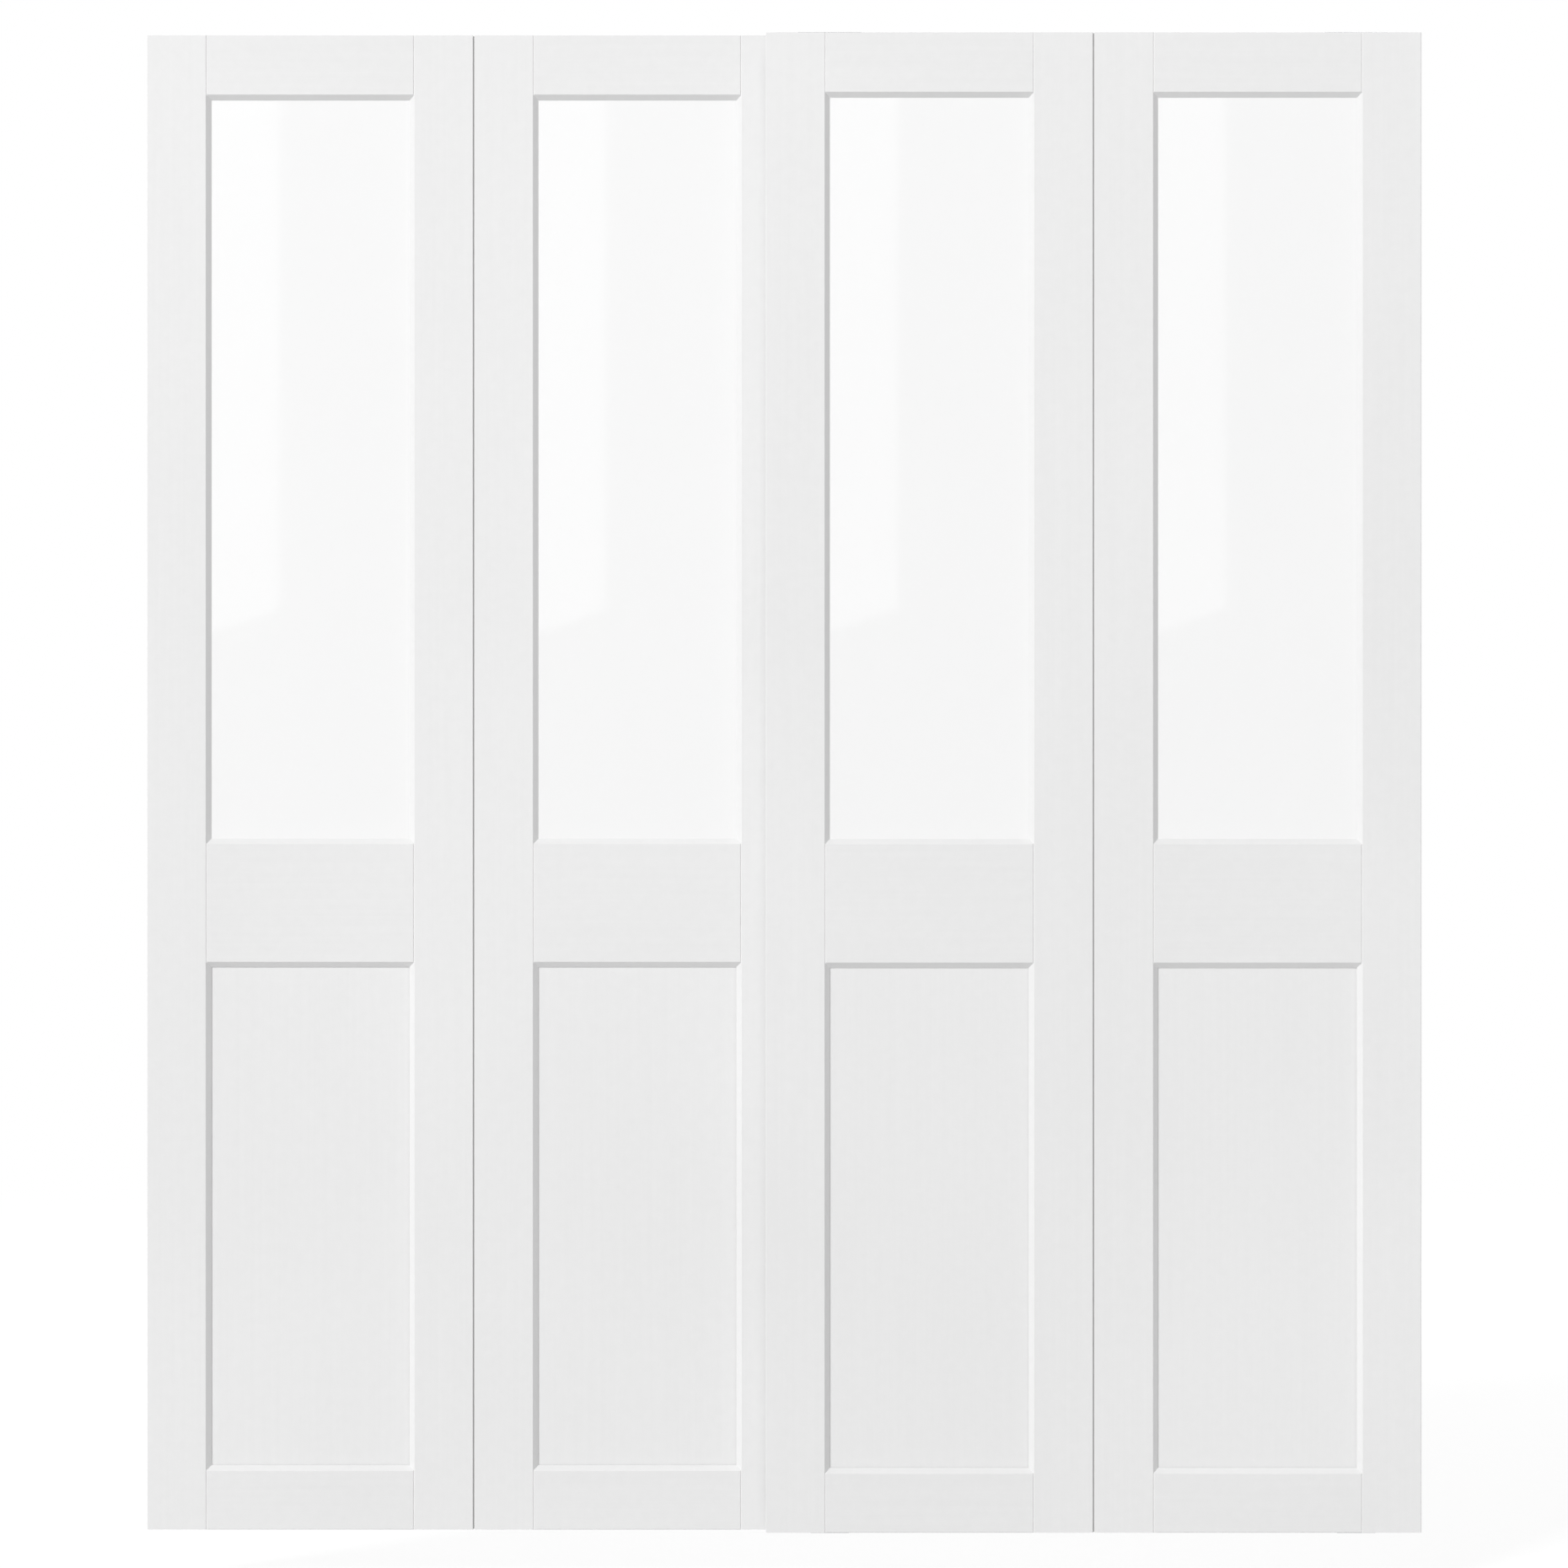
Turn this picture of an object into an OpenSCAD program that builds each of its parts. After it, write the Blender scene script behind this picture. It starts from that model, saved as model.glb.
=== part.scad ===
// Pair of overlapping sliding wardrobe doors with their rails, hangers and guides.
// The rear door closes the left half and the front door the right half.
// X runs to the right, Y to the back and Z up, in millimetres. The origin lies on the back
// face of the upper rail, in the middle of its row of screw holes.

/* [Doors] */
// Width that the two closed doors cover
total_width = 2000; // [1500:10:2400]
// Height of each door
door_height = 2350; // [2200:10:2500]
// Thickness of the stiles and rails of each door
door_thickness = 18; // [17:0.5:22]
// How far the closed doors overlap
door_overlap = 54; // [30:1:80]
// Free depth between the two doors
door_gap = 15; // [10:1:25]
// Gap between the two leaves of a door
leaf_gap = 2; // [1:0.5:4]
// Height of the doors' top over the upper row of screws
door_top = 5; // [3:0.5:8]

/* [Leaf frame] */
// Flat face of a stile
stile_face = 92; // [80:1:130]
// Flat face of the top rail
top_rail_face = 93; // [90:1:140]
// Flat face of the middle rail
middle_rail_face = 185; // [60:1:260]
// Flat face of the bottom rail
bottom_rail_face = 92; // [90:1:140]
// Height of the glazed opening between the flat faces
upper_opening = 1179; // [800:1:1350]
// Width and depth of the bevel round each opening
bevel = 8.5; // [6:0.5:10]
// Arris at the joints of stiles and rails
joint_arris = 1.2; // [0.5:0.1:1.5]
// Arris along the outer edges of stiles and rails
edge_arris = 0.8; // [0.3:0.1:1.5]
// Depth of the groove that holds the pane, into the edge of the frame
groove_depth = 8; // [6:0.5:10]

/* [Panes] */
// Thickness of the frosted glass
glass_thickness = 4; // [3:0.5:4.5]
// Thickness of the lower panel
panel_thickness = 4; // [3:0.5:4.5]
// Room for glazing sealant in the groove, across the thicker pane
sealant = 1; // [0.5:0.5:1.5]
// Room between a pane's edge and the bottom of its groove
pane_edge_room = 1; // [0.5:0.5:2]

/* [Steel plates] */
// Thickness of hangers and guide arms
steel = 2; // [1.5:0.5:3]
// Outer radius of their bends
bend_radius = 3.5; // [3.5:0.5:5]
// Width of a hanger
hanger_width = 100; // [80:1:130]
// Distance from a door's side edge to the middle of a hanger or guide
hanger_inset = 100; // [80:1:160]
// Reach of a hanger's plate below the door's top
hanger_reach = 60; // [58:1:62]
// Width of the tab that carries the wheel of the front door
tab_width = 50; // [40:1:80]
// Width of a guide arm
arm_width = 60; // [50:1:90]
// Height of a guide arm's plate over the door's bottom
arm_reach = 54; // [50:1:58]
// Height gap between the rear door and the plates that pass over and under it
pass_height = 1.5; // [0.5:0.5:3]
// Distance from a hanger's side edges to its screws
hanger_screw_edge = 15; // [8:1:25]
// Distance from a hanger's lower edge to its lower screws
hanger_screw_rise = 8; // [5:0.5:10]
// Height between a hanger's two rows of screws
hanger_screw_step = 14; // [10:0.5:16]
// Distance from a guide arm's side edges to its screws
arm_screw_edge = 12; // [8:1:20]
// Distance from a guide arm's upper edge to its screws
arm_screw_drop = 14; // [8:1:20]

/* [Braces] */
// Height of a brace
brace_height = 25; // [22:1:26]
// Depth of a brace
brace_depth = 5; // [4:0.5:7]
// Wall of a brace
brace_wall = 1.5; // [1:0.5:2]
// Distance from a door's side edge to the end of its braces
brace_inset = 20; // [10:1:35]
// Distance from the top and bottom braces to the flat faces' inner edges
brace_margin = 2.5; // [1:0.5:4]

/* [Wheels and axles] */
// Outer diameter of a wheel
wheel_diameter = 24; // [22:1:28]
// Width of a wheel
wheel_width = 6; // [5:0.5:8]
// Diameter at the bottom of a wheel's groove, on which it rolls
rolling_diameter = 19.4; // [17:0.2:20]
// Wall of a wheel's flange at the rim
flange_wall = 0.8; // [0.6:0.1:1]
// Diameter of an axle
axle_diameter = 6; // [4:0.5:7]
// Radial clearance of an axle in its wheel
axle_play = 0.05; // [0.02:0.01:0.08]
// Side clearance of a wheel on its axle
wheel_side_play = 0.3; // [0.3:0.1:0.5]
// Diameter of the cam that sets the height
cam_diameter = 12; // [12:0.5:14]
// Distance from the cam's middle to the axle
cam_throw = 2; // [1:0.5:2]
// Thickness of the cam's flange, and of the shoulder beside the wheel
collar = 0.8; // [0.5:0.1:1.5]
// Thickness of the riveted head that keeps a wheel on
rivet_head = 1; // [0.8:0.1:1.5]
// Overhang of the riveted head beyond the axle
rivet_edge = 1; // [0.6:0.1:1.5]
// Overhang of the cam's flange and of the shoulder
collar_edge = 1.5; // [1:0.1:2]
// Width across the flats of the key hole in an axle
key_size = 3; // [2:0.5:3]
// Depth of the key hole
key_depth = 2.5; // [2:0.5:5]
// Wall of a wheel's hub
hub_wall = 2; // [1.2:0.1:2.5]
// Wall of a wheel inside the bottom of its groove
tread_wall = 1.5; // [1:0.1:2]
// Depth of the dish on each side of a wheel
dish_depth = 0.8; // [0.3:0.1:1.2]
// Side gap between a track and the bottom of a wheel's groove
track_side_gap = 0.4; // [0.3:0.1:0.5]

/* [Upper rail] */
// Wall of both rails where they lie on the wardrobe
rail_web = 3; // [3:0.5:5]
// Shortening of both rails at each end
rail_setback = 5; // [0:1:20]
// Thickness of the shelf under the wheels
shelf = 2.5; // [2:0.5:4]
// Width of a track
track_width = 2; // [1.6:0.2:2.4]
// Height gap between a wheel's rim and the shelf
rim_height = 2; // [1:0.5:3]
// Height gap between a wheel and its track
track_gap = 0.3; // [0.3:0.1:0.5]
// Depth gap between the front door's axles and the web
web_gap = 2.1; // [1:0.1:6]
// Depth gap between the two sets of hanging fittings
pass_depth = 1.5; // [1:0.1:4]
// Diameter of the screw holes in both rails
rail_hole = 4.5; // [4:0.1:5]
// Distance from the covered width's end to the outermost screw hole
rail_hole_inset = 50; // [30:5:120]
// Length of an end stop
stop_length = 30; // [20:1:40]
// Thickness of an end stop between its two buffers
stop_base = 2.8; // [2:0.1:3]
// Height of the buffers over the axles
stop_rise = 5; // [3:0.5:8]
// Clearance of an end stop on the tracks
stop_play = 0.1; // [0.05:0.05:0.2]

/* [Lower rail] */
// Depth of the grooves for the guide sliders
guide_groove = 12; // [10:0.5:16]
// Wall of the grooves' lips and roof
lip_wall = 2; // [1.5:0.1:2.5]
// Height from the grooves' roof to the lower row of screws
lower_screw_height = 9.5; // [8:0.5:20]
// Margin of both webs beyond their row of screws, measured from the row
web_margin = 8; // [6:0.5:12]

/* [Guides] */
// Width of a slider, across the groove
slider_width = 6; // [5:0.5:6.5]
// Length of a slider, along the groove
slider_length = 20; // [14:1:24]
// Height of a slider
slider_height = 20; // [16:0.5:20]
// Clearance round a slider
slider_play = 0.3; // [0.3:0.1:0.5]
// Height of a rear guide housing
housing_height = 19; // [18:0.5:24]
// Length of a guide housing
housing_length = 46; // [44:1:60]
// Wall of a guide housing beside the slider
housing_wall = 2; // [1.5:0.1:2.5]
// Height gap between a guide housing and the lower rail
lip_gap = 2; // [1:0.5:4]
// Height gap between a raised slider and the roof of its groove
roof_gap = 2; // [1:0.5:3]
// Height of a lowered slider over its housing
lowered_rise = 0.5; // [0.5:0.1:0.8]
// Height of a slider's catch
catch_height = 3; // [2:0.5:4]
// Width of a slider's catch
catch_width = 6; // [4:0.5:10]
// Height of the catch over the slider's foot
catch_rise = 2; // [1.5:0.5:3]
// Chamfer at the top of a slider
slider_lead = 3; // [1:0.5:4]
// Distance from a guide housing's ends to its screws
housing_screw_edge = 5.7; // [5:0.1:6]

/* [Screws] */
// Diameter of the small screws
screw_diameter = 3.5; // [3:0.1:4]
// Diameter of their heads
head_diameter = 8; // [6:0.5:8.5]
// Height of their heads
head_height = 2.2; // [1.8:0.1:2.4]
// Length of a screw in the wood
screw_bite = 12; // [8:1:14]
// Radial clearance of a screw in its hole
screw_play = 0.05; // [0.05:0.05:0.2]
// Depth of a sunk head under the surface
head_cover = 0.8; // [0.5:0.1:1]

/* [Hidden] */
$fn = 48;
doors = ["rear", "front"];
sides = ["left", "right"];
levels = ["top", "middle", "bottom"];
cut = 1;
touch_gap = 0.3;

door_width = (total_width + door_overlap) / 2;
leaf_width = (door_width - leaf_gap) / 2;
door_bottom = door_top - door_height;
lower_opening = door_height - top_rail_face - upper_opening - middle_rail_face - bottom_rail_face;
groove_width = max(glass_thickness, panel_thickness) + sealant;

// Depths, added up from the wardrobe to the front
hanging_depth = rivet_head + wheel_side_play + wheel_width + wheel_side_play + 2 * collar + steel;
plate_to_track = steel + 2 * collar + wheel_side_play + wheel_width / 2;
front_tab_y = -(rail_web + web_gap + hanging_depth);
rear_back_y = front_tab_y - pass_depth - hanging_depth;
front_back_y = rear_back_y - door_thickness - door_gap;
rear_track_y = rear_back_y + plate_to_track;
front_track_y = front_tab_y + plate_to_track;

// Heights of the upper fittings
arm_over = door_top + pass_height;
wheel_radius = wheel_diameter / 2;
rolling_radius = rolling_diameter / 2;
wheel_z = door_top - pass_height - wheel_radius;
track_top = wheel_z - rolling_radius - track_gap;
shelf_top = wheel_z - wheel_radius - rim_height;
hanger_bottom = door_top - hanger_reach;
cam_margin = 4;
tab_bottom = wheel_z - cam_diameter / 2 - cam_margin;
hanger_screw_dx = hanger_width / 2 - hanger_screw_edge;
hanger_screws_z = [for (row = [0, 1]) hanger_bottom + hanger_screw_rise + row * hanger_screw_step];
stop_x = total_width / 2 - hanger_inset + wheel_radius + touch_gap;
rail_hole_pairs = 3;
rail_hole_pitch = (total_width - 2 * rail_hole_inset) / (2 * rail_hole_pairs - 1);

// Heights of the lower fittings
arm_under = door_bottom - pass_height;
housing_top = door_bottom + housing_height;
lip_bottom = housing_top + lip_gap;
groove_roof = lip_bottom + guide_groove;
lower_screw_z = groove_roof + lip_wall + lower_screw_height;
slider_top = groove_roof - roof_gap;
slider_bottom = slider_top - slider_height;
slider_travel = slider_top - housing_top - lowered_rise;
slot_half = slider_width / 2 + slider_play;
catch_z = slider_bottom + catch_rise;
arm_screw_z = door_bottom + arm_reach - arm_screw_drop;
arm_screw_dx = arm_width / 2 - arm_screw_edge;
housing_screw_dx = housing_length / 2 - housing_screw_edge;
housing_screw_z = door_bottom + housing_height / 2;
counterbore = head_height + head_cover;

brace_z = [
    door_top - top_rail_face + brace_height / 2 + brace_margin,
    door_bottom + bottom_rail_face + lower_opening + middle_rail_face / 2,
    door_bottom + bottom_rail_face - brace_height / 2 - brace_margin
];

function back_y(door) = door == "rear" ? rear_back_y : front_back_y;
function track_y(door) = door == "rear" ? rear_track_y : front_track_y;
function door_left(door) = door == "rear" ? -total_width / 2 : total_width / 2 - door_width;
function leaf_left(door, leaf) = door_left(door) + (leaf == "left" ? 0 : leaf_width + leaf_gap);
function fitting_x(door, side) =
    door_left(door) + (side == "left" ? hanger_inset : door_width - hanger_inset);

// Screws on the back of a door, each as x, z and the thickness under its head
function hanger_screws(door) = [
    for (side = sides, dx = [-hanger_screw_dx, hanger_screw_dx], z = hanger_screws_z)
        [fitting_x(door, side) + dx, z, steel]
];
function brace_screws(door) = [
    for (z = brace_z, leaf = sides, x = [stile_face / 2, leaf_width / 2, leaf_width - stile_face / 2])
        [leaf_left(door, leaf) + x, z, brace_wall]
];
function guide_screws(door) = [
    for (side = sides, way = [-1, 1])
        door == "rear"
            ? [fitting_x(door, side) + way * housing_screw_dx, housing_screw_z, rear_housing_seat]
            : [fitting_x(door, side) + way * arm_screw_dx, arm_screw_z, steel]
];
function back_screws(door) = concat(hanger_screws(door), brace_screws(door), guide_screws(door));
rear_housing_depth = rear_track_y + slot_half + housing_wall - rear_back_y;
rear_housing_seat = rear_housing_depth - counterbore;

// Extrudes an outline drawn in Y and Z along X, from the given place
module along_x(from, length) {
    translate([from, 0, 0])
        rotate([90, 0, 90])
            linear_extrude(height = length)
                children();
}

// Cylinder along Y whose near end is at y
module along_y(x, y, z, radius, length) {
    translate([x, y, z])
        rotate([-90, 0, 0])
            cylinder(r = radius, h = length);
}

// Edge of a bar at an opening, for a flat face that ends at the given x: y runs from face to back
function opening_edge(face) = [
    [face, 0],
    [face + bevel, bevel],
    [face + bevel - groove_depth, bevel],
    [face + bevel - groove_depth, bevel + groove_width],
    [face + bevel, bevel + groove_width],
    [face + bevel, door_thickness]
];

// Section of a bar, with its outer edge at x = 0
module bar_section(face) {
    polygon(concat(
        [[edge_arris, 0]],
        opening_edge(face),
        [
            [edge_arris, door_thickness],
            [0, door_thickness - edge_arris],
            [0, edge_arris]
        ]
    ));
}

// Section of a bar between two openings, with its middle at x = 0
module double_section(face) {
    edge = opening_edge(face / 2);
    polygon(concat(edge, [for (i = [len(edge) - 1:-1:0]) [-edge[i][0], edge[i][1]]]));
}

// The two stiles of a leaf, in the leaf's own place
module stile_at(door, leaf, side) {
    x = leaf_left(door, leaf) + (side == "left" ? 0 : leaf_width);
    translate([x, back_y(door) - door_thickness, door_bottom])
        mirror([side == "left" ? 0 : 1, 0, 0])
            linear_extrude(height = door_height)
                bar_section(stile_face);
}

// Arris on the ends of a rail, where they meet the stiles
module joint_cuts(door, leaf, bottom, height) {
    for (side = [0, 1])
        translate([
            leaf_left(door, leaf) + side * leaf_width,
            back_y(door) - door_thickness,
            bottom - cut
        ])
            mirror([side, 0, 0])
                linear_extrude(height = height + 2 * cut)
                    polygon([
                        [stile_face - cut, -cut],
                        [stile_face + 2 * joint_arris + cut, -cut],
                        [stile_face + joint_arris, joint_arris],
                        [stile_face - cut, joint_arris]
                    ]);
}

// Pilot holes for the screws that enter a piece between two corners given as x and z
module pilot_holes(door, low, high) {
    hole = screw_diameter / 2 + screw_play;
    for (s = back_screws(door))
        if (s[0] > low[0] - hole && s[0] < high[0] + hole && s[1] > low[1] && s[1] < high[1])
            along_y(s[0], back_y(door) - screw_bite, s[1], hole, screw_bite + cut);
}

module stile(door, leaf, side) {
    x = leaf_left(door, leaf) + (side == "left" ? 0 : leaf_width - stile_face - bevel);
    color("white")
        difference() {
            stile_at(door, leaf, side);
            pilot_holes(door, [x, door_bottom], [x + stile_face + bevel, door_top]);
        }
}

// A rail of a leaf: its section is given as a child, in Y and Z from the door's face
module rail(door, leaf, bottom, height) {
    x = leaf_left(door, leaf) + stile_face;
    length = leaf_width - 2 * stile_face;
    color("white")
        difference() {
            translate([0, back_y(door) - door_thickness, 0])
                along_x(x, length)
                    children();
            stile_at(door, leaf, "left");
            stile_at(door, leaf, "right");
            joint_cuts(door, leaf, bottom, height);
            pilot_holes(door, [x, bottom], [x + length, bottom + height]);
        }
}

// Turns a section so that its x runs upwards, or downwards, from the given height
module upward(z) {
    translate([0, z])
        mirror([1, -1])
            children();
}

module downward(z) {
    translate([0, z])
        rotate(-90)
            children();
}

module top_leaf_rail(door, leaf) {
    height = top_rail_face + bevel;
    rail(door, leaf, door_top - height, height)
        downward(door_top)
            bar_section(top_rail_face);
}

module middle_leaf_rail(door, leaf) {
    height = middle_rail_face + 2 * bevel;
    rail(door, leaf, brace_z[1] - height / 2, height)
        upward(brace_z[1])
            double_section(middle_rail_face);
}

module bottom_leaf_rail(door, leaf) {
    rail(door, leaf, door_bottom, bottom_rail_face + bevel)
        upward(door_bottom)
            bar_section(bottom_rail_face);
}

// A flat pane in the grooves round an opening that starts at the given height
module pane(door, leaf, bottom, height, depth, thickness) {
    inset = bevel - groove_depth + pane_edge_room;
    translate([
        leaf_left(door, leaf) + stile_face + inset,
        back_y(door) - door_thickness + depth,
        bottom + inset
    ])
        cube([leaf_width - 2 * (stile_face + inset), thickness, height - 2 * inset]);
}

module glass(door, leaf) {
    bottom = door_top - top_rail_face - upper_opening;
    color("whitesmoke", 0.8)
        pane(door, leaf, bottom, upper_opening, bevel, glass_thickness);
}

module lower_panel(door, leaf) {
    bottom = door_bottom + bottom_rail_face;
    color("ghostwhite")
        pane(door, leaf, bottom, lower_opening, bevel + groove_width - panel_thickness, panel_thickness);
}

// A shallow channel across the back of a door, with its lips turned away from it
module brace(door, z) {
    color("gainsboro")
        difference() {
            translate([0, back_y(door), z])
                along_x(door_left(door) + brace_inset, door_width - 2 * brace_inset)
                    difference() {
                        translate([0, -brace_height / 2])
                            square([brace_depth, brace_height]);
                        translate([brace_wall, brace_wall - brace_height / 2])
                            square([brace_depth, brace_height - 2 * brace_wall]);
                    }
            screw_holes(door, brace_screws(door));
        }
}

// Holes for back screws through a plate or brace
module screw_holes(door, screws) {
    for (s = screws)
        along_y(s[0], back_y(door) - cut, s[1], screw_diameter / 2 + screw_play, s[2] + 2 * cut);
}

// Pan-head screw along Z, with its head's underside at z = 0
module screw(length) {
    slot = head_diameter / 2;
    difference() {
        rotate_extrude()
            polygon([
                [0, -length],
                [screw_diameter / 2, -length],
                [screw_diameter / 2, 0],
                [head_diameter / 2, 0],
                [head_diameter / 2, head_height / 2],
                [head_diameter / 3, head_height],
                [0, head_height]
            ]);
        for (turn = [0, 90])
            rotate(turn)
                translate([-slot / 2, -slot / 10, head_height / 2])
                    cube([slot, slot / 5, head_height]);
    }
}

module door_screws(door) {
    color("silver") {
        for (s = back_screws(door))
            translate([s[0], back_y(door) + s[2], s[1]])
                rotate([-90, 0, 0])
                    screw(s[2] + screw_bite);
        if (door == "front")
            for (side = sides, way = [-1, 1])
                translate([
                    fitting_x(door, side) + way * housing_screw_dx,
                    front_track_y,
                    housing_top - counterbore
                ])
                    screw(housing_top - counterbore - arm_under + steel);
    }
}

// Quarter of a bend in a plate, turned to one of the four quadrants
module bend(y, z, quadrant) {
    translate([y, z])
        rotate(90 * quadrant)
            intersection() {
                difference() {
                    circle(r = bend_radius);
                    circle(r = bend_radius - steel);
                }
                square(bend_radius + cut);
            }
}

module plate_section(y, z, depth, height) {
    translate([y, z])
        square([depth, height]);
}

module cam_hole(door, side, plate_y) {
    along_y(
        fitting_x(door, side) + cam_throw,
        plate_y - cut,
        wheel_z,
        cam_diameter / 2 + axle_play,
        steel + 2 * cut
    );
}

module rear_hanger(side) {
    color("lightgray")
        difference() {
            along_x(fitting_x("rear", side) - hanger_width / 2, hanger_width)
                plate_section(rear_back_y, hanger_bottom, steel, door_top - pass_height - hanger_bottom);
            cam_hole("rear", side, rear_back_y);
            screw_holes("rear", hanger_screws("rear"));
        }
}

// Plate on the back of the front door, bent over the rear door and down to the wheel
module front_hanger(side) {
    x = fitting_x("front", side);
    top = arm_over + steel;
    tab_back = front_tab_y + steel;
    color("lightgray")
        difference() {
            along_x(x - hanger_width / 2, hanger_width)
                union() {
                    plate_section(front_back_y, hanger_bottom, steel, top - bend_radius - hanger_bottom);
                    bend(front_back_y + bend_radius, top - bend_radius, 1);
                    plate_section(
                        front_back_y + bend_radius,
                        arm_over,
                        tab_back - front_back_y - 2 * bend_radius,
                        steel
                    );
                    bend(tab_back - bend_radius, top - bend_radius, 0);
                    plate_section(front_tab_y, tab_bottom, steel, top - bend_radius - tab_bottom);
                }
            for (way = [0, 1])
                translate([x, front_tab_y - cut, tab_bottom - cut])
                    mirror([way, 0, 0])
                        translate([tab_width / 2, 0, 0])
                            cube([hanger_width, steel + 2 * cut, top - bend_radius - tab_bottom]);
            cam_hole("front", side, front_tab_y);
            screw_holes("front", hanger_screws("front"));
        }
}

// Cam, flange, shoulder, axle and riveted head turned from one piece
module eccentric_axle(x, plate_y) {
    flange_y = plate_y + steel;
    shoulder_y = flange_y + collar;
    wheel_y = shoulder_y + collar + wheel_side_play;
    head_y = wheel_y + wheel_width + wheel_side_play;
    difference() {
        union() {
            along_y(x + cam_throw, plate_y, wheel_z, cam_diameter / 2, steel);
            along_y(x + cam_throw, flange_y, wheel_z, cam_diameter / 2 + collar_edge, collar);
            along_y(x, shoulder_y, wheel_z, axle_diameter / 2 + collar_edge, collar);
            along_y(x, plate_y + collar, wheel_z, axle_diameter / 2, head_y - plate_y);
            along_y(x, head_y, wheel_z, axle_diameter / 2 + rivet_edge, rivet_head);
        }
        translate([x, head_y + rivet_head - key_depth, wheel_z])
            rotate([-90, 0, 0])
                cylinder(d = key_size / cos(30), h = key_depth + cut, $fn = 6);
    }
}

module eccentric_axles(door) {
    plate_y = door == "rear" ? rear_back_y : front_tab_y;
    color("silver")
        for (side = sides)
            eccentric_axle(fitting_x(door, side), plate_y);
}

// Grooved wheel round its axle
module wheel(door, side) {
    bore = axle_diameter / 2 + axle_play;
    half = wheel_width / 2;
    groove_floor = track_width / 2 + track_side_gap;
    groove_mouth = half - flange_wall;
    hub = bore + hub_wall;
    rim = rolling_radius - tread_wall;
    dish = half - dish_depth;
    color("snow")
        translate([fitting_x(door, side), track_y(door), wheel_z])
            rotate([-90, 0, 0])
                rotate_extrude()
                    polygon([
                        [bore, -half],
                        [hub, -half],
                        [hub, -dish],
                        [rim, -dish],
                        [rim, -half],
                        [wheel_radius, -half],
                        [wheel_radius, -groove_mouth],
                        [rolling_radius, -groove_floor],
                        [rolling_radius, groove_floor],
                        [wheel_radius, groove_mouth],
                        [wheel_radius, half],
                        [rim, half],
                        [rim, dish],
                        [hub, dish],
                        [hub, half],
                        [bore, half]
                    ]);
}

// The row of countersunk screw holes in a rail
module rail_screw_holes(z) {
    sink = rail_hole / 2;
    for (step = [0.5 - rail_hole_pairs:rail_hole_pairs])
        translate([step * rail_hole_pitch, 0, z])
            rotate([90, 0, 0]) {
                translate([0, 0, -cut])
                    cylinder(d = rail_hole, h = rail_web + 2 * cut);
                translate([0, 0, rail_web - sink])
                    cylinder(r1 = sink, r2 = 2 * sink, h = sink);
                translate([0, 0, rail_web])
                    cylinder(r = 2 * sink, h = cut);
            }
}

module rail_bar() {
    along_x(rail_setback - total_width / 2, total_width - 2 * rail_setback)
        children();
}

module track(y) {
    crown_z = track_top - track_width / 2;
    plate_section(y - track_width / 2, shelf_top - cut, track_width, crown_z - shelf_top + cut);
    translate([y, crown_z])
        circle(d = track_width);
}

// Web with a shelf that carries the two tracks
module top_rail() {
    shelf_bottom = shelf_top - shelf;
    shelf_front = rear_back_y + steel + pass_depth;
    color("gainsboro")
        difference() {
            rail_bar()
                union() {
                    plate_section(-rail_web, shelf_bottom, rail_web, web_margin - shelf_bottom);
                    plate_section(shelf_front, shelf_bottom, -shelf_front, shelf);
                    track(rear_track_y);
                    track(front_track_y);
                }
            rail_screw_holes(0);
        }
}

// Web with a flange that has a groove for each door's sliders, open downwards
module bottom_rail() {
    front = rear_track_y - slot_half - lip_wall;
    web_height = lower_screw_z + web_margin - lip_bottom;
    color("gainsboro")
        difference() {
            rail_bar()
                difference() {
                    union() {
                        plate_section(front, lip_bottom, -front, guide_groove + lip_wall);
                        plate_section(-rail_web, lip_bottom, rail_web, web_height);
                    }
                    for (y = [rear_track_y, front_track_y])
                        plate_section(y - slot_half, lip_bottom - cut, 2 * slot_half, guide_groove + cut);
                }
            rail_screw_holes(lower_screw_z);
        }
}

// Stop on the upper rail's shelf with a buffer on each track
module end_stop(side) {
    way = side == "left" ? -1 : 1;
    height = wheel_z + stop_rise - shelf_top;
    color("dimgray")
        along_x(way * (stop_x + stop_length / 2) - stop_length / 2, stop_length)
            difference() {
                union() {
                    plate_section(rear_track_y, shelf_top, front_track_y - rear_track_y, stop_base);
                    for (y = [rear_track_y, front_track_y])
                        plate_section(y - wheel_width / 2, shelf_top, wheel_width, height);
                }
                for (y = [rear_track_y, front_track_y])
                    plate_section(
                        y - track_width / 2 - stop_play,
                        shelf_top - cut,
                        track_width + 2 * stop_play,
                        track_top - shelf_top + stop_play + cut
                    );
            }
}

// Plate on the back of the front door, bent under the rear door to carry a guide
module guide_arm(side) {
    x = fitting_x("front", side);
    bottom = arm_under - steel;
    arm_end = front_track_y + slot_half + housing_wall;
    color("lightgray")
        difference() {
            along_x(x - arm_width / 2, arm_width)
                union() {
                    plate_section(
                        front_back_y,
                        bottom + bend_radius,
                        steel,
                        door_bottom + arm_reach - bottom - bend_radius
                    );
                    bend(front_back_y + bend_radius, bottom + bend_radius, 2);
                    plate_section(
                        front_back_y + bend_radius,
                        bottom,
                        arm_end - front_back_y - bend_radius,
                        steel
                    );
                }
            screw_holes("front", guide_screws("front"));
            for (way = [-1, 1])
                translate([x + way * housing_screw_dx, front_track_y, bottom - cut])
                    cylinder(r = screw_diameter / 2 + screw_play, h = steel + 2 * cut);
        }
}

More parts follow.
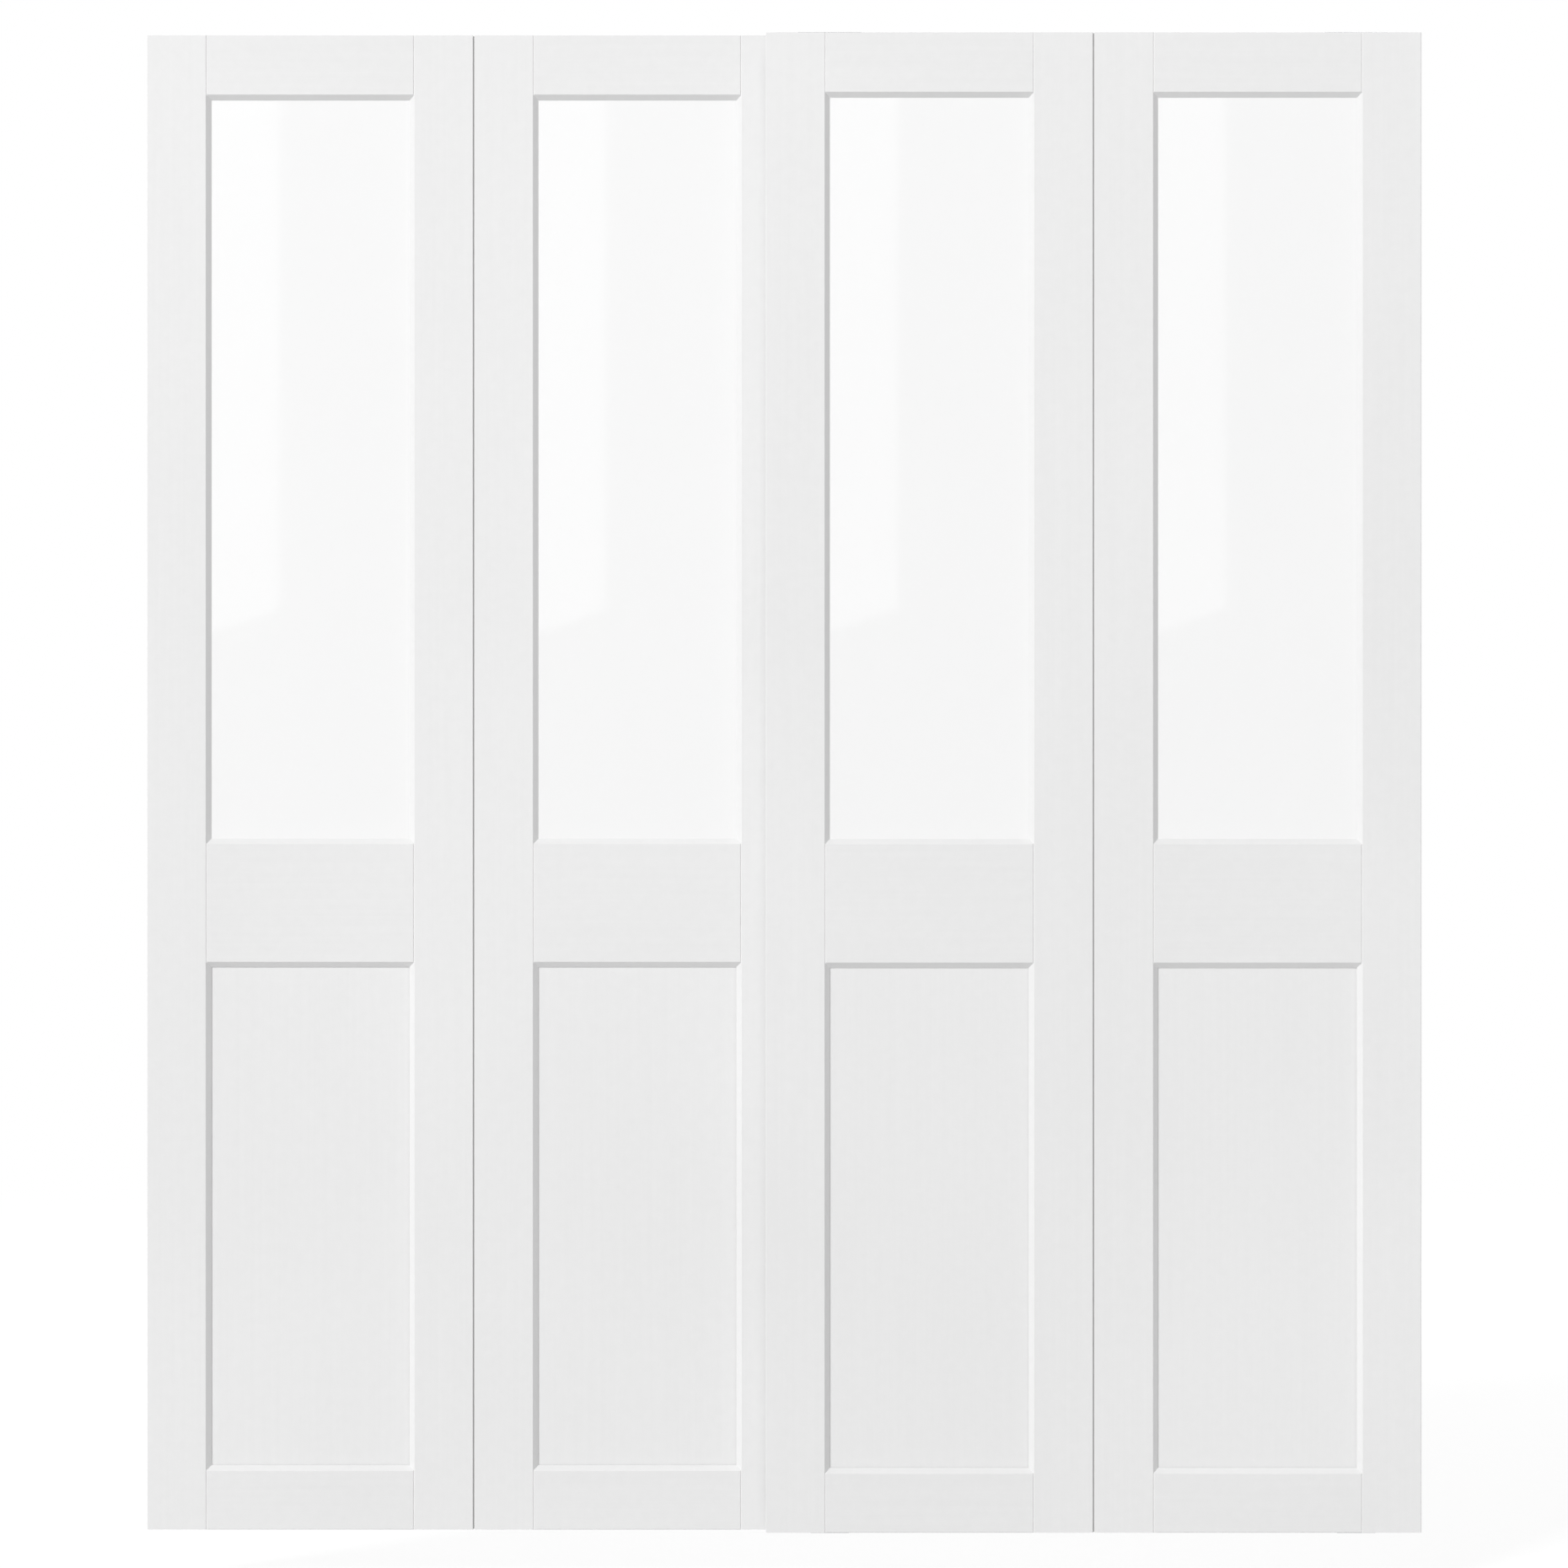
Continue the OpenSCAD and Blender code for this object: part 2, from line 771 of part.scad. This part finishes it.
// Housing with a slot for the slider and a window for its catch
module guide_housing(door, side) {
    x = fitting_x(door, side);
    y = track_y(door);
    low_y = door == "rear" ? rear_back_y : y - slot_half - housing_wall;
    high_y = y + slot_half + housing_wall;
    bottom = door == "rear" ? door_bottom : arm_under;
    window = door == "rear" ? y : y - slot_half - housing_wall - cut;
    hole = screw_diameter / 2 + screw_play;
    bore = head_diameter / 2 + screw_play;
    color("white")
        difference() {
            translate([x - housing_length / 2, low_y, bottom])
                cube([housing_length, high_y - low_y, housing_top - bottom]);
            translate([x - slider_length / 2 - slider_play, y - slot_half, bottom - cut])
                cube([slider_length + 2 * slider_play, 2 * slot_half, housing_top - bottom + 2 * cut]);
            translate([
                x - catch_width / 2 - slider_play,
                window,
                catch_z - slider_travel - slider_play
            ])
                cube([
                    catch_width + 2 * slider_play,
                    slot_half + housing_wall + cut,
                    catch_height + slider_travel + 2 * slider_play
                ]);
            for (way = [-1, 1])
                if (door == "rear") {
                    along_y(x + way * housing_screw_dx, low_y - cut, housing_screw_z, hole, high_y - low_y);
                    along_y(
                        x + way * housing_screw_dx,
                        low_y + rear_housing_seat,
                        housing_screw_z,
                        bore,
                        counterbore + cut
                    );
                } else
                    translate([x + way * housing_screw_dx, y, bottom - cut]) {
                        cylinder(r = hole, h = housing_top - bottom);
                        translate([0, 0, housing_top - counterbore - bottom + cut])
                            cylinder(r = bore, h = counterbore + cut);
                    }
        }
}

// Slider that stands in the lower rail's groove, with a catch that shows in the window
module guide_slider(door, side) {
    half = slider_length / 2;
    way = door == "rear" ? 0 : 1;
    color("dimgray")
        translate([fitting_x(door, side), track_y(door), 0])
            mirror([0, way, 0]) {
                translate([0, slider_width / 2, 0])
                    rotate([90, 0, 0])
                        linear_extrude(height = slider_width)
                            polygon([
                                [-half, slider_bottom],
                                [half, slider_bottom],
                                [half, slider_top - slider_lead],
                                [half - slider_lead, slider_top],
                                [slider_lead - half, slider_top],
                                [-half, slider_top - slider_lead]
                            ]);
                translate([-catch_width / 2, 0, catch_z])
                    cube([catch_width, slot_half + housing_wall / 2, catch_height]);
            }
}

for (door = doors) {
    for (leaf = sides) {
        name = str(door, "_", leaf, "_leaf_");
        for (side = sides)
            stile(door, leaf, side);
        top_leaf_rail(door, leaf);
        middle_leaf_rail(door, leaf);
        bottom_leaf_rail(door, leaf);
        glass(door, leaf);
        lower_panel(door, leaf);
    }
    for (i = [0:2])
        brace(door, brace_z[i]);
    door_screws(door);
    eccentric_axles(door);
    for (side = sides) {
        wheel(door, side);
        guide_housing(door, side);
        guide_slider(door, side);
    }
}
for (side = sides) {
    rear_hanger(side);
    front_hanger(side);
    guide_arm(side);
    end_stop(side);
}
top_rail();
bottom_rail();
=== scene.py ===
import math

import bmesh
import bpy
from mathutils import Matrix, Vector


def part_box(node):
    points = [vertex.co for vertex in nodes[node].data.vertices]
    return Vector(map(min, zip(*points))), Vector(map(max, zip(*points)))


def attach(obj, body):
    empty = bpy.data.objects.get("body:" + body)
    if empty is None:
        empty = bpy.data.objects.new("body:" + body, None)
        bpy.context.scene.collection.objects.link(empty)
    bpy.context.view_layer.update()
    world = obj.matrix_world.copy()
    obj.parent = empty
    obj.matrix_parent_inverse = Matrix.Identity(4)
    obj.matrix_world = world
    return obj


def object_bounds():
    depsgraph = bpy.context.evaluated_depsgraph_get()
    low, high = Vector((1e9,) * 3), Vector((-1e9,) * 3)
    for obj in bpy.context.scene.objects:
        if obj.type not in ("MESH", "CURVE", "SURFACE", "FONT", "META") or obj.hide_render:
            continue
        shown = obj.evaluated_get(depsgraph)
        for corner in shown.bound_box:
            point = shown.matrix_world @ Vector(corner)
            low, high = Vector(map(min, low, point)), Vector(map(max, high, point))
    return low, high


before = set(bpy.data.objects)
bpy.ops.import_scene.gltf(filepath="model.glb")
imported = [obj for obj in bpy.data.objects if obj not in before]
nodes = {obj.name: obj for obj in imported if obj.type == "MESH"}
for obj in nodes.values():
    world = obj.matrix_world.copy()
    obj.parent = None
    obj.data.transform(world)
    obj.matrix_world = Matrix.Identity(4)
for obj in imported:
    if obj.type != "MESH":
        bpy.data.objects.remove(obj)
cad_low, cad_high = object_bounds()


# Finishes

class Signal:
    """What a node gives out. Arithmetic on it adds Math nodes."""

    def __init__(self, finish, socket):
        self.finish, self.socket = finish, socket

    def math(self, operation, *values):
        return self.finish.add("Math", {"operation": operation}, dict(enumerate(values)))

    def __add__(self, other):
        return self.math("ADD", self, other)

    def __radd__(self, other):
        return self.math("ADD", other, self)

    def __sub__(self, other):
        return self.math("SUBTRACT", self, other)

    def __rsub__(self, other):
        return self.math("SUBTRACT", other, self)

    def __mul__(self, other):
        return self.math("MULTIPLY", self, other)

    def __rmul__(self, other):
        return self.math("MULTIPLY", other, self)

    def above(self, level):
        return self.math("GREATER_THAN", self, level)

    def either(self, other):
        return self.math("MAXIMUM", self, other)

    def swing(self, amount):
        """A noise, which lies between 0 and 1, moved to a mean of zero and scaled by the amount."""
        return (self - 0.5) * amount


class Finish:
    """The node tree of a material or of the world. Noise scales are in cycles per metre."""

    def __init__(self, tree):
        self.tree = tree
        tree.nodes.clear()

    def add(self, kind, settings=None, sockets=None, output=0):
        node = self.tree.nodes.new("ShaderNode" + kind)
        for name, value in (settings or {}).items():
            setattr(node, name, value)
        for name, value in (sockets or {}).items():
            if isinstance(value, Signal):
                self.tree.links.new(value.socket, node.inputs[name])
            else:
                node.inputs[name].default_value = value
        return Signal(self, node.outputs[output] if len(node.outputs) else None)

    def place(self, scale=(1, 1, 1)):
        """Object coordinates in metres, scaled."""
        where = self.add("TexCoord", output="Object")
        return self.add("Mapping", {}, {"Vector": where, "Scale": scale})

    def noise(self, where, scale, detail, rough=0.5):
        sockets = {"Vector": where, "Scale": scale, "Detail": detail, "Roughness": rough}
        return self.add("TexNoise", {}, sockets)

    def blend(self, share, first, second):
        """A colour between two. A Mix node's colour sockets have the numbers 6 and 7, and 2."""
        return self.add("Mix", {"data_type": "RGBA"}, {0: share, 6: first, 7: second}, output=2)

    def relief(self, height, depth, strength):
        return self.add("Bump", {}, {"Height": height, "Distance": depth, "Strength": strength})

    def glow(self, strength):
        return self.add("Emission", {}, {"Color": grey(1), "Strength": strength})

    def surface(self, shader):
        self.add("OutputMaterial", {}, {"Surface": shader})


def finish(name):
    material = bpy.data.materials.new(name)
    material.use_nodes = True
    return material, Finish(material.node_tree)


def tint(red, green, blue):
    return (red, green, blue, 1.0)


def grey(level):
    return tint(level, level, level)


def foil(name, lengthwise, dark, light, gloss):
    """Satin foil on fibreboard, with lines drawn along one axis, orange peel and slow shades."""
    material, f = finish(name)
    across, along = 170.0, 2.2
    stretch = [along if axis == lengthwise else across for axis in range(3)]
    drawn = f.noise(f.place(stretch), scale=1.0, detail=3.0, rough=0.55)
    slow = f.noise(f.place(), scale=1.3, detail=2.0)
    mottle = f.noise(f.place(), scale=70.0, detail=2.0)
    peel = f.noise(f.place(), scale=420.0, detail=1.5)
    shade = 0.5 + slow.swing(2.2) + mottle.swing(0.9) + drawn.swing(0.8)
    shader = f.add("BsdfPrincipled", {}, {
        "Base Color": f.blend(shade, dark, light),
        "Roughness": gloss + drawn.swing(0.14) + peel.swing(0.12),
        "IOR": 1.5,
        "Normal": f.relief(drawn * 0.45 + peel * 0.55, depth=0.00016, strength=0.6),
    })
    f.surface(shader)
    return material


def frosted_glass(name):
    """Glass with a polished face and an etched, almost white back."""
    material, f = finish(name)
    etch = f.noise(f.place(), scale=900.0, detail=3.0, rough=0.6)
    cloud = f.noise(f.place(), scale=2.0, detail=1.0)
    facing = f.add("SeparateXYZ", {}, {0: f.add("NewGeometry", output="Normal")}, output="Y")
    front = 1 - facing.above(-0.5)
    shader = f.add("BsdfPrincipled", {}, {
        "Base Color": f.blend(cloud * 0.7 + etch * 0.3, grey(0.944), grey(0.961)),
        "Roughness": 0.6 + etch.swing(0.1),
        "IOR": 1.3,
        "Transmission Weight": 0.1,
        "Coat Weight": front,
        "Coat Roughness": 0.02,
        "Coat IOR": 1.8,
        "Normal": f.relief((1 - front) * etch, depth=0.00004, strength=0.5),
    })
    f.surface(shader)
    return material


def anodised(name):
    """Extruded aluminium with the die's lines along X under a matt anodised skin."""
    material, f = finish(name)
    lines = f.noise(f.place((1.5, 2600.0, 2600.0)), scale=1.0, detail=3.0, rough=0.6)
    skin = f.noise(f.place((30.0, 160.0, 160.0)), scale=1.0, detail=2.0)
    dark, light = tint(0.40, 0.41, 0.42), tint(0.52, 0.525, 0.53)
    shader = f.add("BsdfPrincipled", {}, {
        "Base Color": f.blend(lines * 0.5 + skin * 0.5, dark, light),
        "Metallic": 1.0,
        "Roughness": 0.43 + lines.swing(0.18),
        "Normal": f.relief(lines, depth=0.00004, strength=0.5),
    })
    f.surface(shader)
    return material


def zinc(name):
    """Zinc-plated steel: a fine spangle, a bluish bloom and faint rolling marks."""
    material, f = finish(name)
    spangle = f.add("TexVoronoi", {}, {"Vector": f.place(), "Scale": 260.0}, output="Color")
    crystal = f.add("SeparateXYZ", {}, {0: spangle})
    bloom = f.noise(f.place(), scale=26.0, detail=3.0, rough=0.6)
    rolled = f.noise(f.place((40.0, 40.0, 900.0)), scale=1.0, detail=2.0)
    bluish, plain = tint(0.36, 0.38, 0.41), tint(0.50, 0.505, 0.49)
    shader = f.add("BsdfPrincipled", {}, {
        "Base Color": f.blend(bloom * 0.7 + crystal * 0.3, bluish, plain),
        "Metallic": 1.0,
        "Roughness": 0.38 + bloom * 0.12 + crystal.swing(0.10),
        "Normal": f.relief(rolled * 0.7 + crystal * 0.3, depth=0.00003, strength=0.5),
    })
    f.surface(shader)
    return material


def moulded(name, dark, light, gloss):
    """Moulded plastic with a fine spark-eroded grain and slight flow marks."""
    material, f = finish(name)
    grain = f.noise(f.place(), scale=2400.0, detail=2.0, rough=0.6)
    flow = f.noise(f.place((40.0, 40.0, 120.0)), scale=1.0, detail=2.0)
    shader = f.add("BsdfPrincipled", {}, {
        "Base Color": f.blend(flow * 0.6 + grain * 0.4, dark, light),
        "Roughness": gloss + grain.swing(0.12),
        "IOR": 1.48,
        "Normal": f.relief(grain, depth=0.00004, strength=0.6),
    })
    f.surface(shader)
    return material


X, Z = 0, 2
upright_foil = foil("foil_upright", Z, grey(0.790), grey(0.822), gloss=0.36)
level_foil = foil("foil_level", X, grey(0.783), grey(0.816), gloss=0.36)
panel_foil = foil("foil_panel", Z, grey(0.790), grey(0.820), gloss=0.42)
glass = frosted_glass("frosted_glass")
aluminium = anodised("anodised_aluminium")
plated = zinc("zinc_plated_steel")
white_plastic = moulded("white_plastic", tint(0.74, 0.74, 0.73), tint(0.80, 0.80, 0.79), gloss=0.42)
soft_plastic = moulded("soft_plastic", tint(0.66, 0.66, 0.65), tint(0.72, 0.72, 0.71), gloss=0.55)
grey_plastic = moulded(
    "grey_plastic", tint(0.06, 0.062, 0.066), tint(0.085, 0.088, 0.092), gloss=0.48
)

# The first ending that fits a node's name gives its finish
BY_ENDING = [
    ("_stile", upright_foil),
    ("_leaf_top_rail", level_foil),
    ("_leaf_middle_rail", level_foil),
    ("_leaf_bottom_rail", level_foil),
    ("_glass", glass),
    ("_lower_panel", panel_foil),
    ("_brace", aluminium),
    ("_screws", plated),
    ("_eccentric_axles", plated),
    ("_hanger", plated),
    ("_guide_arm", plated),
    ("_wheel", white_plastic),
    ("_guide_housing", white_plastic),
    ("_guide_slider", grey_plastic),
    ("_end_stop", grey_plastic),
    ("top_rail", aluminium),
    ("bottom_rail", aluminium),
]


def dress(name, node):
    material = next(m for ending, m in BY_ENDING if name.endswith(ending))
    if not node.material_slots:
        node.data.materials.append(material)
    for slot in node.material_slots:
        slot.material = material


for name, node in nodes.items():
    dress(name, node)


# Seal in the gap between the two leaves of a door, pushed in from the back, in metres

SEAL_PLAY = 0.00005
SEAL_DEPTH = 0.0032
SEAL_ROUNDING = 0.0007
END_ROOM = 0.001
FOOT_REACH = 0.007
FOOT_THICKNESS = 0.0012
SHORTEST_FOOT = 0.01
BRACES = ("bottom", "middle", "top")


def block(mesh, low, high):
    made = bmesh.ops.create_cube(mesh, size=1.0)["verts"]
    bmesh.ops.scale(mesh, vec=[b - a for a, b in zip(low, high)], verts=made)
    bmesh.ops.translate(mesh, vec=[(a + b) / 2 for a, b in zip(low, high)], verts=made)


def finished(name, mesh, material):
    data = bpy.data.meshes.new(name)
    mesh.to_mesh(data)
    mesh.free()
    data.materials.append(material)
    piece = bpy.data.objects.new(name, data)
    bpy.context.scene.collection.objects.link(piece)
    return piece


def leaf_seal(door):
    """A stem between the leaves, rounded in front, and a flat foot on their backs."""
    left_low, left_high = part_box(door + "_left_leaf_right_stile")
    right_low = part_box(door + "_right_leaf_left_stile")[0]
    back, front = left_high.y, left_low.y
    middle = (left_high.x + right_low.x) / 2
    bottom, top = left_low.z + END_ROOM, left_high.z - END_ROOM
    mesh = bmesh.new()
    block(
        mesh,
        (left_high.x + SEAL_PLAY, front + SEAL_DEPTH, bottom),
        (right_low.x - SEAL_PLAY, back, top),
    )
    face = [v for v in mesh.verts if v.co.y < (front + back) / 2]
    height = top - bottom
    upright = [
        e for e in mesh.edges
        if all(v in face for v in e.verts) and e.calc_length() > height / 2
    ]
    bmesh.ops.bevel(
        mesh, geom=upright, offset=SEAL_ROUNDING, segments=3,
        profile=0.5, affect="EDGES", material=-1,
    )
    stops = [bottom]
    for brace in BRACES:
        low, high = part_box(f"{door}_door_{brace}_brace")
        stops += [low.z - END_ROOM, high.z + END_ROOM]
    stops.append(top)
    for start, end in zip(stops[::2], stops[1::2]):
        if end - start > SHORTEST_FOOT:
            block(
                mesh,
                (middle - FOOT_REACH, back, start),
                (middle + FOOT_REACH, back + FOOT_THICKNESS, end),
            )
    bmesh.ops.recalc_face_normals(mesh, faces=mesh.faces)
    seal = finished(door + "_door_leaf_seal", mesh, soft_plastic)
    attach(seal, door + "_door")


for door in ("rear", "front"):
    leaf_seal(door)


# Studio, in metres, millimetres for the lens, and watts

CAMERA = Vector((0.0015, -8.13, -1.1723))
LENS, SENSOR = 118.0, 36.0
SIGHT = 200

LAMP_AIM = Vector((0, 0, CAMERA.z))
KEY_PLACE, KEY_SIZE, KEY_WATTS = (-19.8, -28.65, 16.5), 13.5, 10400
BACK_PLACE, BACK_SIZE, BACK_WATTS = (8.0, 14.4, 9.1), 9.0, 2080

# Strengths: what world and floor give to surfaces, and what camera, gloss and glass see of them
WHITE = 1.0
WORLD_LIT = 0.455
FLOOR_LIT, FLOOR_SHOWN = 0.30, 0.73
FAR_FLOOR_LIT = 0.70

FLOOR_DROP = 0.08
FLOOR_SIZE = 60
FADE_START, FADE_END = 4.0, 8.0

CARD_Y = -8.6
CARD_GLOW = 1.45

# The painted reflection strip on each pane, against the pane's left and top edges, and its slanted
# lower end
STRIP_PAST_LEFT, STRIP_REACH, STRIP_PAST_TOP = 0.02, 0.1132, 0.03
STRIP_END_LEFT, STRIP_END_RIGHT = -0.943, -0.898


def open_white(f, lit, shown):
    """One strength for the light on surfaces, another for what camera, gloss and glass see."""
    seen = f.add("LightPath", output="Is Camera Ray")
    for ray in ("Is Glossy Ray", "Is Transmission Ray"):
        seen = seen.either(f.add("LightPath", output=ray))
    return lit + seen * (shown - lit)


def make_world():
    world = bpy.data.worlds.new("studio")
    world.use_nodes = True
    bpy.context.scene.world = world
    f = Finish(world.node_tree)
    strength = open_white(f, WORLD_LIT, WHITE)
    light = f.add("Background", {}, {"Color": grey(1), "Strength": strength})
    f.add("OutputWorld", {}, {"Surface": light})


def make_floor():
    """A pale floor that keeps the doors' shadow near them and turns plain white further off."""
    bpy.ops.mesh.primitive_plane_add(size=FLOOR_SIZE, location=(0, 0, cad_low.z - FLOOR_DROP))
    floor = bpy.context.object
    floor.name = "floor"
    material, f = finish("pale_floor")
    speckle = f.noise(f.place(), scale=30.0, detail=3.0)
    paint = f.add("BsdfDiffuse", {}, {"Color": f.blend(speckle, grey(0.29), grey(0.31))})
    lift = f.glow(open_white(f, FLOOR_LIT, FLOOR_SHOWN))
    near = f.add("AddShader", {}, {0: paint, 1: lift})
    away = f.glow(open_white(f, FAR_FLOOR_LIT, WHITE))
    distance = f.add("VectorMath", {"operation": "LENGTH"}, {0: f.place()}, output="Value")
    fade = f.add(
        "MapRange",
        {"interpolation_type": "SMOOTHSTEP"},
        {"Value": distance, "From Min": FADE_START, "From Max": FADE_END},
    )
    f.surface(f.add("MixShader", {}, {0: fade, 1: near, 2: away}))
    floor.data.materials.append(material)


def area_light(name, place, size, watts):
    lamp = bpy.data.lights.new(name, "AREA")
    lamp.shape, lamp.size, lamp.energy = "SQUARE", size, watts
    lamp_object = bpy.data.objects.new(name, lamp)
    lamp_object.location = place
    lamp_object.rotation_euler = (LAMP_AIM - Vector(place)).to_track_quat("-Z", "Y").to_euler()
    lamp_object.visible_camera = False
    bpy.context.scene.collection.objects.link(lamp_object)


def make_camera():
    camera = bpy.data.cameras.new("camera")
    camera.lens, camera.sensor_width = LENS, SENSOR
    camera.clip_end = SIGHT
    camera_object = bpy.data.objects.new("camera", camera)
    camera_object.location = CAMERA
    camera_object.rotation_euler = (math.pi / 2, 0, 0)
    bpy.context.scene.collection.objects.link(camera_object)
    bpy.context.scene.camera = camera_object


def painted_reflection_card(leaf):
    """A glowing card behind the camera, seen only in gloss, which the leaf's pane mirrors as a
    painted reflection strip down its left side.

    Its corners are laid out on the pane, where the strip shows from the front, and then carried
    back to the card along the mirrored lines of sight.
    """
    low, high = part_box(leaf + "_glass")
    left, right, top = low.x - STRIP_PAST_LEFT, low.x + STRIP_REACH, high.z + STRIP_PAST_TOP
    corners = [(left, top), (right, top), (right, STRIP_END_RIGHT), (left, STRIP_END_LEFT)]
    grow = 1 + (low.y - CARD_Y) / (low.y - CAMERA.y)
    mesh = bmesh.new()
    mesh.faces.new([
        mesh.verts.new((CAMERA.x + (x - CAMERA.x) * grow, CARD_Y, CAMERA.z + (z - CAMERA.z) * grow))
        for x, z in corners
    ])
    material, f = finish("card_" + leaf)
    f.surface(f.glow(CARD_GLOW))
    card = finished("card_" + leaf, mesh, material)
    # The card glows though it is no lamp and lights nothing; it shows only as the painted
    # reflection strip on the pane
    card.visible_camera = card.visible_diffuse = False
    card.visible_transmission = card.visible_shadow = False


make_world()
make_floor()
area_light("key", KEY_PLACE, KEY_SIZE, KEY_WATTS)
area_light("back", BACK_PLACE, BACK_SIZE, BACK_WATTS)
for leaf in ("rear_left_leaf", "rear_right_leaf", "front_left_leaf", "front_right_leaf"):
    painted_reflection_card(leaf)
make_camera()
bpy.context.scene.view_settings.view_transform = "Standard"
